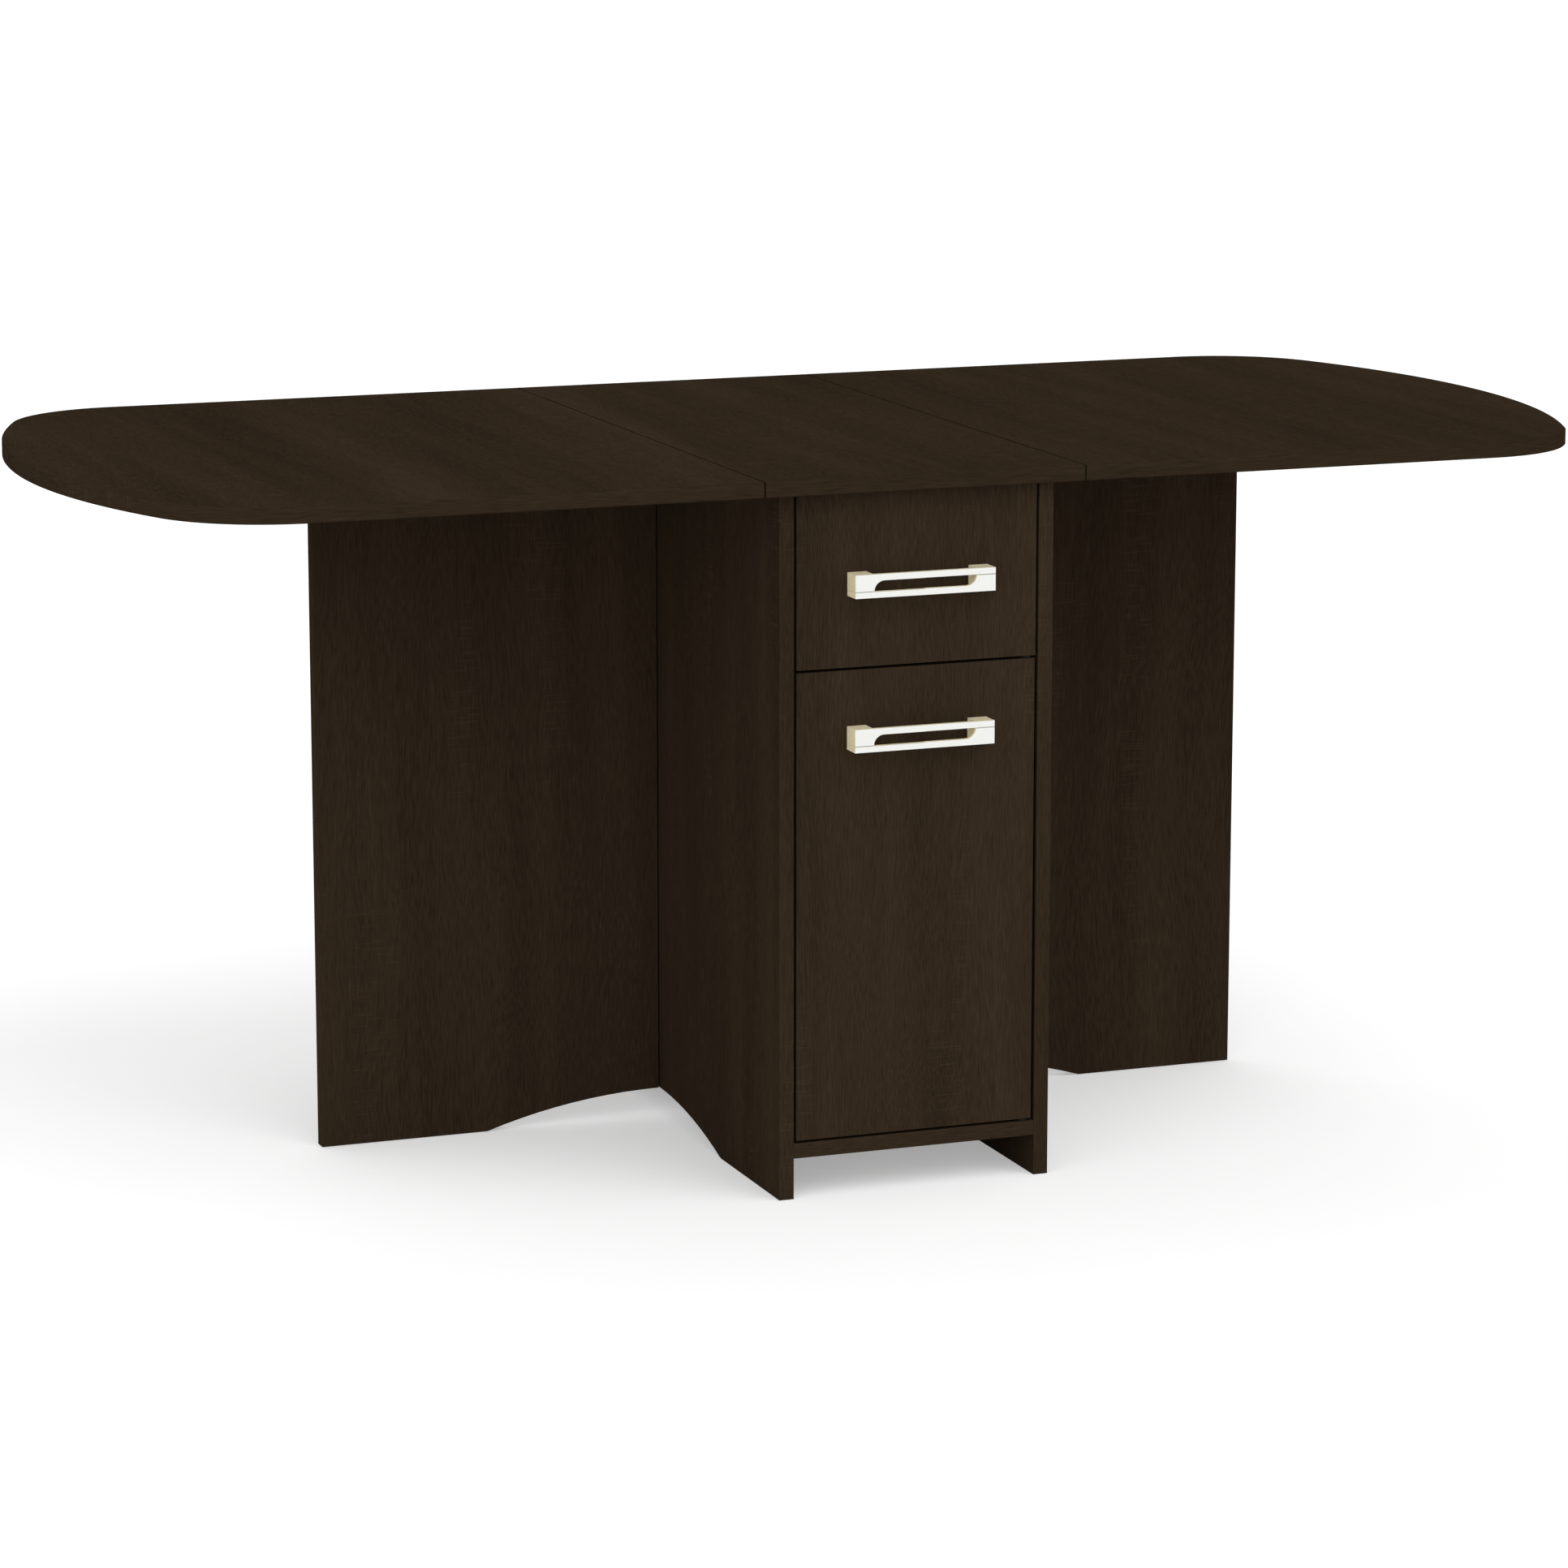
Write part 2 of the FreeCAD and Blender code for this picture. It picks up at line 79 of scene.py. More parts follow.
STEEL_FINISH = "zinc_plated_steel"

# How often a pattern repeats in a metre, along each axis, for each way the grain can run
GRAIN_AXES = {
    "upright": lambda across, along: (across, across, along),
    "deep": lambda across, along: (across, along, across),
    "wide": lambda across, along: (along, across, across),
    "band": lambda across, along: (along, along, across),
}

# Figure of the laminate: repeats in a metre across the grain and along it, and how far the grain wanders
SWAY_REPEATS = (5.0, 1.7)
BAND_REPEATS = (13.0, 0.8)
STREAK_REPEATS = (95.0, 3.5)
PORE_REPEATS = (1000.0, 45.0)
SAW_MARK_REPEATS = (26.0, 420.0)
MARK_ROW_REPEATS = (20.0, 2.4)
GRAIN_WANDER = 70.0 * MM

# What bands, streaks and pores add to the figure, and where in it one tone passes into the next
BAND_SHARE = 0.40
STREAK_SHARE = 0.10
PORE_SHARE = 0.50
SHADE_TO_TONE = (0.36, 0.51)
TONE_TO_LIGHT = (0.49, 0.65)

# Where in their noise the saw marks, their rows and open pores stand out, and how strongly
SAW_MARK_SPAN = (0.57, 0.68)
MARK_ROW_SPAN = (0.56, 0.70)
SAW_MARK_SHARE = 0.34
OPEN_PORE_SPAN = (0.30, 0.42)
OPEN_PORE_SHARE = 0.30

# Most of a noise lies in this span, round this middle
NOISE_SPAN = (0.3, 0.7)
NOISE_MIDDLE = (0.5, 0.5, 0.5)

# How far the roughness of a moulded piece swings either way
ROUGHNESS_SWING = 0.08

# Painted shade along the arris at the seams of the top: how far off the middle panel the seam lies, where
# the painted shade fades out, and how dark it is
SEAM_OFFSET = 0.5 * MM
SEAM_SHADE_SPAN = (0.7 * MM, 1.5 * MM)
SEAM_SHADE_SHARE = 0.65
SEAM_SHADE_TINT = 0.3

# Painted shade along the joint on the face of a pull: where it fades out on either side, and its tint of
# the face's colour
JOINT_SHADE_SPAN = (0.35 * MM, 0.8 * MM)
JOINT_SHADE_TINT = 0.55

# Eased edges of boards and pulls
WELD_REACH = 0.01 * MM
EASED_ANGLE = math.radians(40.0)
EASED_STEPS = 2

# Screw heads: corners of the round, how far up a normal points on a level face, shares of the head's
# size for the recess, and turn from screw to screw
HEAD_CORNERS = 28
CROWN_STEPS = 3
NEARLY_LEVEL = 0.9
SMOOTH_ANGLE = math.radians(35.0)
RECESS_LENGTH_SHARE = 1.15
RECESS_WIDTH_SHARE = 0.26
RECESS_FOOT_SHARE = 0.72
RECESS_DEPTH_SHARE = 0.8
FIRST_TURN = math.radians(11.0)
NEXT_TURN = math.radians(37.0)
HINGE_SCREW_CROWN = 0.3 * MM
FITTING_SCREW_SHARE = 0.85
FITTING_SCREW_HEIGHT = 0.35 * MM
FITTING_SCREW_CROWN = 0.2 * MM
PULL_SCREW_CROWN = 1.0 * MM
PULL_SCREW_RECESS = 1.5 * MM

# Places of screws in millimetres, and the thickness of the sheets that they hold. In a hinge each screw has
# its inset from the free edge of its plate, and its step along the pin from the middle of the hinge
HINGE_SHEET = 1.5
LEAF_FIXED_SCREWS = ((10.0, -24.0), (10.0, 0.0), (10.0, 24.0))
LEAF_SCREWS = ((22.2, -24.0), (10.2, 0.0), (22.2, 24.0))
GATE_SCREWS = ((16.8, -28.0), (9.8, 0.0), (16.8, 28.0))
SUPPORT_SHEET = 3.0
SUPPORT_SCREW_RISE = 5.5
PIVOT_SHEET = 2.0
PIVOT_SCREW_INSETS = (6.0, 18.0)
CATCH_SCREW_INSET = 4.5
PULL_SCREW_INSET = 10.25

# Studio: the floor's side in metres and its roughness, the camera's film in millimetres and its sight in
# metres, and each lamp's place in metres and spread in degrees
FLOOR_SIDE = 60.0
FLOOR_ROUGHNESS = 0.9
FILM_WIDTH = 36.0
SIGHT = 200.0
LAMPS = {
    "key": ((1.6, -3.4, 4.8), 50.0),
    "low": ((-3.0, -3.4, 1.2), 60.0),
    "rear": ((-1.5, 4.0, 4.2), 60.0),
}


def tinted(colour, share):
    return tuple(min(1.0, part * share) for part in colour)


# Settings

class LaminateSettings(bpy.types.PropertyGroup):
    tone: bpy.props.FloatVectorProperty(
        name="Tone", description="Middle tone of the dark oak laminate", subtype="COLOR", size=3,
        min=0.0, max=1.0, default=LAMINATE)
    shade: bpy.props.FloatVectorProperty(
        name="Shade", description="Dark streaks of the grain", subtype="COLOR", size=3,
        min=0.0, max=1.0, default=tinted(LAMINATE, share=0.7))
    light: bpy.props.FloatVectorProperty(
        name="Light", description="Light streaks of the grain", subtype="COLOR", size=3,
        min=0.0, max=1.0, default=tinted(LAMINATE, share=1.32))
    ray: bpy.props.FloatVectorProperty(
        name="Saw marks", description="Short light marks across the grain", subtype="COLOR", size=3,
        min=0.0, max=1.0, default=tinted(LAMINATE, share=1.75))
    gloss: bpy.props.FloatProperty(
        name="Gloss", description="How much the satin surface reflects", subtype="FACTOR",
        min=0.0, max=1.0, default=0.0)
    # Painted shade: the bands round the top keep only this share of the laminate's tones, as they face the
    # lamps more openly than the top
    band_painted_shade: bpy.props.FloatProperty(
        name="Band depth", description="How much of the tones the bands round the top keep",
        subtype="FACTOR", min=0.0, max=1.0, default=0.9)
    arris: bpy.props.FloatProperty(
        name="Arris", description="Width of the eased edge of a board", unit="LENGTH",
        min=0.0, max=2.0 * MM, default=0.4 * MM)


class HandleSettings(bpy.types.PropertyGroup):
    face: bpy.props.FloatVectorProperty(
        name="Face", description="Front face of the pulls", subtype="COLOR", size=3,
        min=0.0, max=1.0, default=(0.773, 0.78, 0.744))
    # The shell's colour is its own beige, raised above it as painted light for the ends of the pulls, which
    # stand half in shade
    shell: bpy.props.FloatVectorProperty(
        name="Shell", description="Ends and backs of the pulls", subtype="COLOR", size=3,
        min=0.0, max=1.0, default=(1.0, 0.835, 0.555))
    arris: bpy.props.FloatProperty(
        name="Arris", description="Width of the eased edge round the halves of a pull", unit="LENGTH",
        min=0.0, max=1.0 * MM, default=0.4 * MM)
    face_depth: bpy.props.FloatProperty(
        name="Face depth", description="How far the white of the face reaches round its edges",
        unit="LENGTH", min=0.0, max=2.0 * MM, default=0.05 * MM)
    screw_radius: bpy.props.FloatProperty(
        name="Screw head", description="Radius of the screw heads behind the pulls", unit="LENGTH",
        min=1.0 * MM, max=10.0 * MM, default=4.0 * MM)
    screw_height: bpy.props.FloatProperty(
        name="Screw height", description="Height of the screw heads behind the pulls", unit="LENGTH",
        min=0.5 * MM, max=5.0 * MM, default=2.4 * MM)


class FittingSettings(bpy.types.PropertyGroup):
    steel: bpy.props.FloatVectorProperty(
        name="Steel", description="Zinc plate of hinges, strike and screws", subtype="COLOR", size=3,
        min=0.0, max=1.0, default=RECORD_COLOURS["hinge_steel"])
    blackened: bpy.props.FloatVectorProperty(
        name="Blackened steel", description="Pivots of the door", subtype="COLOR", size=3,
        min=0.0, max=1.0, default=RECORD_COLOURS["blackened_steel"])
    plastic: bpy.props.FloatVectorProperty(
        name="Brown plastic", description="Blocks, supports, runners, bushes and catch", subtype="COLOR",
        size=3, min=0.0, max=1.0, default=RECORD_COLOURS["brown_plastic"])
    nylon: bpy.props.FloatVectorProperty(
        name="Nylon", description="Pads on the gates, under the leaves", subtype="COLOR", size=3,
        min=0.0, max=1.0, default=RECORD_COLOURS["pale_nylon"])
    hardboard: bpy.props.FloatVectorProperty(
        name="Hardboard", description="Thin bottom of the drawer", subtype="COLOR", size=3,
        min=0.0, max=1.0, default=RECORD_COLOURS["fibreboard"])
    ferrite: bpy.props.FloatVectorProperty(
        name="Magnet", description="Magnet of the door's catch", subtype="COLOR", size=3,
        min=0.0, max=1.0, default=RECORD_COLOURS["magnet"])
    screw_radius: bpy.props.FloatProperty(
        name="Screw head", description="Radius of the wood screws' heads", unit="LENGTH",
        min=1.0 * MM, max=10.0 * MM, default=3.2 * MM)
    screw_proud: bpy.props.FloatProperty(
        name="Screw proud", description="How far the heads stand off the plates", unit="LENGTH",
        min=0.1 * MM, max=2.0 * MM, default=0.5 * MM)


class StageSettings(bpy.types.PropertyGroup):
    eye: bpy.props.FloatVectorProperty(
        name="Eye", description="Where the camera stands", subtype="TRANSLATION", unit="LENGTH", size=3,
        default=(-2.06947, -5.44814, 1.53018))
    turn: bpy.props.FloatProperty(
        name="Turn", description="How far the camera looks to the right", subtype="ANGLE",
        default=math.radians(20.775))
    tilt: bpy.props.FloatProperty(
        name="Tilt", description="How far the camera looks down", subtype="ANGLE",
        default=math.radians(11.3913))
    lens: bpy.props.FloatProperty(
        name="Lens", description="Focal length of the camera in millimetres", unit="CAMERA",
        min=10.0, max=400.0, default=125.43)
    floor: bpy.props.FloatVectorProperty(
        name="Floor", description="Colour of the pale floor", subtype="COLOR", size=3,
        min=0.0, max=1.0, default=(0.82, 0.82, 0.82))
    floor_glow: bpy.props.FloatProperty(
        name="Floor glow", description="White that the floor adds for the eye alone", subtype="FACTOR",
        min=0.0, max=1.0, default=0.34)
    key_power: bpy.props.FloatProperty(
        name="Key", description="Strength of the broad lamp in front", min=0.0, default=0.8)
    low_power: bpy.props.FloatProperty(
        name="Low", description="Strength of the low lamp at the front left", min=0.0, default=0.6)
    rear_power: bpy.props.FloatProperty(
        name="Rear", description="Strength of the weak lamp behind", min=0.0, default=0.25)
    wall_fill: bpy.props.FloatProperty(
        name="Wall fill", description="Light from all round, low down", min=0.0, max=2.0, default=1.5)
    ceiling_fill: bpy.props.FloatProperty(
        name="Ceiling fill", description="Light from all round, straight above", min=0.0, max=2.0,
        default=0.35)


class TableFinish(bpy.types.PropertyGroup):
    laminate: bpy.props.PointerProperty(type=LaminateSettings)
    handle: bpy.props.PointerProperty(type=HandleSettings)
    fitting: bpy.props.PointerProperty(type=FittingSettings)
    stage: bpy.props.PointerProperty(type=StageSettings)


# Nodes of materials

def new_material(name):
    """A material with an empty tree but for its shader and output."""
    material = bpy.data.materials.new(name)
    material.use_nodes = True
    return material, material.node_tree, material.node_tree.nodes["Principled BSDF"]


def feed(tree, socket, source):
    """Link a socket to another node's output, or set its value."""
    if isinstance(source, bpy.types.NodeSocket):
        tree.links.new(source, socket)
    else:
        socket.default_value = source


def add_node(tree, kind, inputs=(), **values):
    """A node with its properties set, and values or links put on its input sockets."""
    node = tree.nodes.new(kind)
    for key, value in values.items():
        setattr(node, key, value)
    for socket, source in inputs:
        feed(tree, node.inputs[socket], source)
    return node


def object_place(tree):
    return add_node(tree, "ShaderNodeTexCoord").outputs["Object"]


def apart(tree, vector):
    """The X, Y and Z of a vector."""
    return add_node(tree, "ShaderNodeSeparateXYZ", [("Vector", vector)]).outputs


def grain_noise(tree, place, repeats, detail, roughness=0.55):
    """Noise stretched by so many repeats in a metre along each axis."""
    spread = add_node(tree, "ShaderNodeMapping", [("Vector", place), ("Scale", repeats)])
    noise = add_node(tree, "ShaderNodeTexNoise", [
        ("Vector", spread.outputs["Vector"]), ("Scale", 1.0), ("Detail", detail), ("Roughness", roughness)])
    return noise.outputs["Fac"]


def even_noise(tree, place, repeats, detail):
    """Noise that repeats as often along all three axes."""
    return grain_noise(tree, place, (repeats, repeats, repeats), detail)


def calculate(tree, operation, first, second=0.0):
    return add_node(tree, "ShaderNodeMath", [(0, first), (1, second)], operation=operation).outputs[0]


def weighed(tree, parts):
    """Sum of several values, each times its share."""
    total = 0.0
    for value, share in parts:
        total = calculate(tree, "ADD", total, calculate(tree, "MULTIPLY", value, share))
    return total


def distance(tree, value, from_value):
    return calculate(tree, "ABSOLUTE", calculate(tree, "SUBTRACT", value, from_value))


def limits(tree, value, span, result=(0.0, 1.0)):
    """A value between the two ends of a span, spread smoothly over a range of results."""
    spread = add_node(tree, "ShaderNodeMapRange", [
        ("Value", value), ("From Min", span[0]), ("From Max", span[1]), ("To Min", result[0]),
        ("To Max", result[1])], interpolation_type="SMOOTHSTEP")
    return spread.outputs["Result"]


def opaque(colour):
    return (*colour, 1.0)


def blend_colours(tree, share, first, second):
    mix = add_node(tree, "ShaderNodeMix", data_type="RGBA")
    for socket, source in ((0, share), (6, first), (7, second)):
        feed(tree, mix.inputs[socket], source)
    return mix.outputs[2]


def two_tints(tree, share, colour, low, high):
    """A colour that passes from one tint of itself to another."""
    return blend_colours(tree, share, opaque(tinted(colour, low)), opaque(tinted(colour, high)))


def finish_with(tree, shader, colour, rough_by, roughness):
    """Colour of a surface, and its roughness, which passes from one value to another with a noise."""
    tree.links.new(colour, shader.inputs["Base Color"])
    tree.links.new(limits(tree, rough_by, NOISE_SPAN, roughness), shader.inputs["Roughness"])


def relief(tree, shader, height, depth, strength):
    bump = add_node(tree, "ShaderNodeBump", [
        ("Height", height), ("Distance", depth), ("Strength", strength)])
    tree.links.new(bump.outputs["Normal"], shader.inputs["Normal"])


# Finishes

def swayed_place(tree, place, axes):
    """Places that wander a little, so that the grain doesn't run dead straight."""
    spread = add_node(tree, "ShaderNodeMapping", [("Vector", place), ("Scale", axes(*SWAY_REPEATS))])
    sway = add_node(tree, "ShaderNodeTexNoise", [
        ("Vector", spread.outputs["Vector"]), ("Scale", 1.0), ("Detail", 2.0)])
    centred = add_node(tree, "ShaderNodeVectorMath", [
        (0, sway.outputs["Color"]), (1, NOISE_MIDDLE)], operation="SUBTRACT")
    wander = add_node(tree, "ShaderNodeVectorMath", [
        (0, centred.outputs[0]), (1, (GRAIN_WANDER, GRAIN_WANDER, GRAIN_WANDER)), (2, place)],
        operation="MULTIPLY_ADD")
    return wander.outputs[0]


def saw_marks(tree, place, swayed, axes):
    """Rows of short marks across the grain."""
    marks = grain_noise(tree, place, axes(*SAW_MARK_REPEATS), detail=1.0)
    rows = grain_noise(tree, swayed, axes(*MARK_ROW_REPEATS), detail=1.0)
    marked = calculate(tree, "MULTIPLY", limits(tree, marks, SAW_MARK_SPAN),
                       limits(tree, rows, MARK_ROW_SPAN))
    return calculate(tree, "MULTIPLY", marked, SAW_MARK_SHARE)


def sawn_oak(settings, name, grain, depth=1.0, seam=None):
    """Dark sawn-oak laminate: broad bands, streaks, fine pores, and rows of short marks across them.
    Its tones are taken down by a depth, which is painted shade on the bands round the top. A board or band
    that is cut at a seam gets painted shade along its arris there, so many metres either side of the
    middle."""
    material, tree, shader = new_material(name)
    axes = GRAIN_AXES[grain]
    shade, tone, light, ray = [opaque(tinted(colour, depth)) for colour in (
        settings.shade, settings.tone, settings.light, settings.ray)]
    place = object_place(tree)
    swayed = swayed_place(tree, place, axes)
    bands = grain_noise(tree, swayed, axes(*BAND_REPEATS), detail=3.0)
    streaks = grain_noise(tree, swayed, axes(*STREAK_REPEATS), detail=4.0, roughness=0.62)
    pores = grain_noise(tree, swayed, axes(*PORE_REPEATS), detail=2.0, roughness=0.5)
    figure = weighed(tree, ((bands, BAND_SHARE), (streaks, STREAK_SHARE), (pores, PORE_SHARE)))
    colour = blend_colours(tree, limits(tree, figure, SHADE_TO_TONE), shade, tone)
    colour = blend_colours(tree, limits(tree, figure, TONE_TO_LIGHT), colour, light)
    colour = blend_colours(tree, saw_marks(tree, place, swayed, axes), colour, ray)
    colour = blend_colours(tree, limits(tree, pores, OPEN_PORE_SPAN, (OPEN_PORE_SHARE, 0.0)), colour, shade)
    if seam:
        # Painted shade: a dark line along the arris at each seam, darkest at the seam and fading out either
        # side
        off_seam = distance(tree, distance(tree, apart(tree, place)["X"], 0.0), seam)
        colour = blend_colours(tree, limits(tree, off_seam, SEAM_SHADE_SPAN, (SEAM_SHADE_SHARE, 0.0)), colour,
                               opaque(tinted(settings.shade, SEAM_SHADE_TINT)))
    finish_with(tree, shader, colour, rough_by=pores, roughness=(0.66, 0.5))
    shader.inputs["Specular IOR Level"].default_value = settings.gloss
    relief(tree, shader, weighed(tree, ((pores, 1.0), (streaks, 0.4))), depth=0.15 * MM, strength=0.35)
    return material


def pull_finish(settings, name, front, left_joint, right_joint):
    """White front face, and a beige shell behind it, with the faint mottle of moulded plastic. A grey line
    of painted shade marks the joint of the two halves on the face, lower on the left than on the right."""
    material, tree, shader = new_material(name)
    place = object_place(tree)
    along = apart(tree, place)
    mottle = even_noise(tree, place, repeats=260.0, detail=3.0)
    shell = two_tints(tree, mottle, settings.shell, low=0.9, high=1.1)
    face = two_tints(tree, mottle, settings.face, low=0.97, high=1.0)
    on_right = calculate(tree, "GREATER_THAN", along["X"], 0.0)
    rise = calculate(tree, "MULTIPLY", on_right, right_joint - left_joint)
    joint = calculate(tree, "ADD", rise, left_joint)
    # Painted shade: a grey line along the joint of the two halves, where the narrow gap lies in shade
    in_joint_shade = limits(tree, distance(tree, along["Z"], joint), JOINT_SHADE_SPAN, (1.0, 0.0))
    face = blend_colours(tree, in_joint_shade, face, opaque(tinted(settings.face, JOINT_SHADE_TINT)))
    on_face = calculate(tree, "LESS_THAN", along["Y"], front + settings.face_depth)
    colour = blend_colours(tree, on_face, shell, face)
    finish_with(tree, shader, colour, rough_by=mottle, roughness=(0.30, 0.42))
    relief(tree, shader, mottle, depth=0.05 * MM, strength=0.2)
    return material


def zinc_plate(colour):
    """Plated steel with a fine brushing and cloudy patches."""
    material, tree, shader = new_material(STEEL_FINISH)
    place = object_place(tree)
    brushing = grain_noise(tree, place, repeats=(2200.0, 140.0, 140.0), detail=2.0)
    clouds = even_noise(tree, place, repeats=90.0, detail=3.0)
    clouded = two_tints(tree, clouds, colour, low=0.82, high=1.15)
    finish_with(tree, shader, clouded, rough_by=brushing, roughness=(0.28, 0.46))
    shader.inputs["Metallic"].default_value = 1.0
    relief(tree, shader, brushing, depth=0.03 * MM, strength=0.25)
    return material


def moulded(name, colour, fineness, roughness, gloss=0.4):
    """Moulded plastic, or a dull coat, with a fine grain that repeats so often in a metre."""
    material, tree, shader = new_material(name)
    place = object_place(tree)
    speck = even_noise(tree, place, repeats=fineness, detail=2.0)
    clouds = even_noise(tree, place, repeats=45.0, detail=2.0)
    clouded = two_tints(tree, clouds, colour, low=0.88, high=1.12)
    finish_with(tree, shader, clouded, rough_by=speck,
                roughness=(roughness - ROUGHNESS_SWING, roughness + ROUGHNESS_SWING))
    shader.inputs["Specular IOR Level"].default_value = gloss
    relief(tree, shader, speck, depth=0.08 * MM, strength=0.3)
    return material


def hardboard(colour):
    """Pressed fibres, with a slightly darker mottling."""
    material, tree, shader = new_material("hardboard")
    place = object_place(tree)
    fibres = grain_noise(tree, place, repeats=(420.0, 380.0, 400.0), detail=4.0, roughness=0.7)
    mottle = even_noise(tree, place, repeats=30.0, detail=3.0)
    share = limits(tree, weighed(tree, ((fibres, 0.6), (mottle, 0.4))), span=(0.35, 0.65))
    mottled = two_tints(tree, share, colour, low=0.74, high=1.2)
    finish_with(tree, shader, mottled, rough_by=fibres, roughness=(0.55, 0.8))
    relief(tree, shader, fibres, depth=0.1 * MM, strength=0.3)
    return material


def dress(names, material):
    for name in names:
        slots = frame["nodes"][name].data.materials
        slots.clear()
        slots.append(material)


def ease_edges(names, width):
    """Eased arrises, as live modifiers on boards whose own mesh is left alone."""
    for name in names:
        board = frame["nodes"][name]
        weld = board.modifiers.new("welded", "WELD")
        weld.merge_threshold = WELD_REACH
        bevel = board.modifiers.new("eased", "BEVEL")
        bevel.width = width
        bevel.segments = EASED_STEPS
        bevel.limit_method = "ANGLE"
        bevel.angle_limit = EASED_ANGLE
        bevel.use_clamp_overlap = True


# Screws

def deselect_all():
    if bpy.context.object and bpy.context.object.mode != "OBJECT":
        bpy.ops.object.mode_set(mode="OBJECT")
    bpy.ops.object.select_all(action="DESELECT")


def choose_faces(piece, wanted):
    """In edit mode, select just the faces whose normal is wanted."""
    bpy.ops.object.mode_set(mode="EDIT")
    bpy.ops.mesh.select_mode(type="FACE")
    bpy.ops.mesh.select_all(action="DESELECT")
    bpy.ops.object.mode_set(mode="OBJECT")
    for face in piece.data.polygons:
        face.select = wanted(face.normal)
    bpy.ops.object.mode_set(mode="EDIT")


def discard(piece):
    """Remove a piece together with its mesh."""
    bpy.data.meshes.remove(piece.data)


def combine(piece, other, operation):
    """Join another piece to this one or cut it away, and discard it."""
    change = piece.modifiers.new("change", "BOOLEAN")
    change.operation = operation
    change.object = other
    bpy.context.view_layer.objects.active = piece
    bpy.ops.object.modifier_apply(modifier="change")
    discard(other)


def cross_recess(length, width, top, depth):
    """Cutter for a cross recess: a bar that narrows to its foot, and a second bar across it."""
    bars = []
    for turn in (0.0, math.pi / 2.0):
        deselect_all()
        bpy.ops.mesh.primitive_cube_add(size=1.0, location=(0.0, 0.0, top), rotation=(0.0, 0.0, turn))
        bar = bpy.context.object
        bar.scale = (length, width, 2.0 * depth)
        bpy.ops.object.transform_apply(location=True, rotation=True, scale=True)
        choose_faces(bar, lambda normal: normal.z < -NEARLY_LEVEL)
        bpy.ops.transform.resize(value=(RECESS_FOOT_SHARE, RECESS_FOOT_SHARE, 1.0),
                                 center_override=(0.0, 0.0, top))
        bpy.ops.object.mode_set(mode="OBJECT")
        bars.append(bar)
    combine(bars[0], bars[1], "UNION")
    return bars[0]


def screw_head(radius, height, crown, recess_depth):
    """Round head that stands on the plane Z = 0, with a crowned top and a cross recess."""
    deselect_all()
    bpy.ops.mesh.primitive_cylinder_add(vertices=HEAD_CORNERS, radius=radius, depth=height,
                                        end_fill_type="NGON", location=(0.0, 0.0, height / 2.0))
    head = bpy.context.object
    bpy.ops.object.transform_apply(location=True, rotation=True, scale=True)
    choose_faces(head, lambda normal: normal.z > NEARLY_LEVEL)
    bpy.ops.mesh.bevel(offset=crown, segments=CROWN_STEPS, affect="EDGES")
    bpy.ops.object.mode_set(mode="OBJECT")
    cutter = cross_recess(RECESS_LENGTH_SHARE * radius, RECESS_WIDTH_SHARE * radius, height, recess_depth)
    combine(head, cutter, "DIFFERENCE")
    deselect_all()
    head.select_set(True)
    bpy.context.view_layer.objects.active = head
    bpy.ops.object.shade_smooth_by_angle(angle=SMOOTH_ANGLE)
    return head


def hinge_screw_head(fitting):
    return screw_head(fitting.screw_radius, fitting.screw_proud, HINGE_SCREW_CROWN,
                      RECESS_DEPTH_SHARE * fitting.screw_proud)


def drive_screws(head, name, body, places):
    """Copies of a head, each at a place on a surface, with its own turn, joined into one piece."""
    copies = []
    for count, (point, outward) in enumerate(places):
        screw = head.copy()
        screw.data = head.data.copy()
        bpy.context.scene.collection.objects.link(screw)
        facing = Vector(UP).rotation_difference(Vector(outward)).to_matrix().to_4x4()
        spin = Matrix.Rotation(FIRST_TURN + count * NEXT_TURN, 4, "Z")
        screw.matrix_world = Matrix.Translation(Vector(point) * MM) @ facing @ spin
        copies.append(screw)
    deselect_all()
    for screw in copies:
        screw.select_set(True)
    bpy.context.view_layer.objects.active = copies[0]
    bpy.ops.object.join()
    piece = bpy.context.view_layer.objects.active
    bpy.ops.object.transform_apply(location=True, rotation=True, scale=True)
    piece.name = name
    piece.data.materials.clear()
    piece.data.materials.append(bpy.data.materials[STEEL_FINISH])
    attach(piece, body)


def node_box(name):
    """Lowest and highest corner of a CAD node in millimetres."""
    low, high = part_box(name)
    return low / MM, high / MM


def node_points(name):
    """Corners of a CAD node's mesh in millimetres."""
    return [vertex.co / MM for vertex in frame["nodes"][name].data.vertices]


def pair_middles(name, axis):
    """Middles of the two rows of like pieces in a CAD node, along an axis, in millimetres."""
    places = [getattr(point, axis) for point in node_points(name)]
    divide = (min(places) + max(places)) / 2.0
    rows = ([place for place in places if place < divide], [place for place in places if place > divide])
    return [(min(row) + max(row)) / 2.0 for row in rows]


# Studio

def seen_directly(tree):
    """One for what the camera, a reflection or a clear piece sees, and nought for light that falls on
    things."""
    path = add_node(tree, "ShaderNodeLightPath").outputs
    mirrored = calculate(tree, "MAXIMUM", path["Is Camera Ray"], path["Is Glossy Ray"])
    return calculate(tree, "MAXIMUM", mirrored, path["Is Transmission Ray"])


